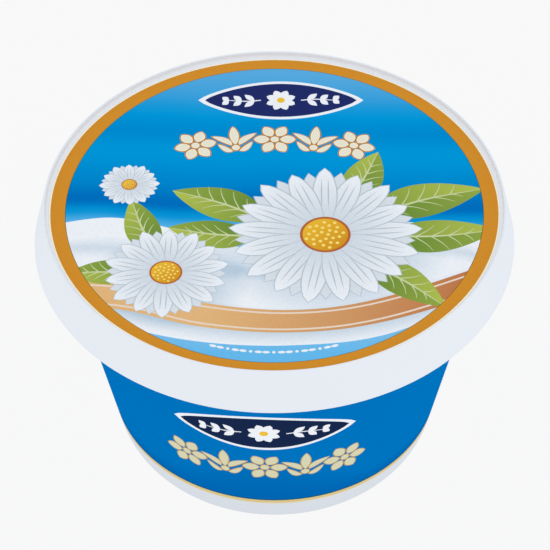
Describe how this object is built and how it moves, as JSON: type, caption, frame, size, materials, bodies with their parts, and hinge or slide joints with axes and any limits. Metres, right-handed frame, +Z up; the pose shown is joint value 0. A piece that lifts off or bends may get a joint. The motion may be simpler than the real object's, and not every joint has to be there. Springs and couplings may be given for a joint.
{
  "type": "closed tub of ricotta",
  "caption": "Closed round plastic tub of ricotta: a tapered cup with a rounded foot and a printed side sleeve, under a press-on lid with a flared skirt and a sunk printed disc.",
  "frame": {"origin": "centre of the foot, at the height of the surface that the tub stands on", "axes": "+Z up along the tub's own axis, -Y towards the front of the printed labels"},
  "size_m": [0.1008, 0.1008, 0.066],
  "materials": {
    "tub_plastic": "moulded white polypropylene, satin",
    "lid_plastic": "moulded white polypropylene, satin",
    "tub_print": "printed in-mould film, semi-gloss, mid blue with a thin gold line",
    "lid_print": "printed in-mould film, semi-gloss, blue field with an ochre border ring"
  },
  "bodies": {
    "root": {"tub": "tub_plastic", "lid": "lid_plastic", "tub_label": "tub_print", "lid_label": "lid_print"}
  },
  "joints": []
}
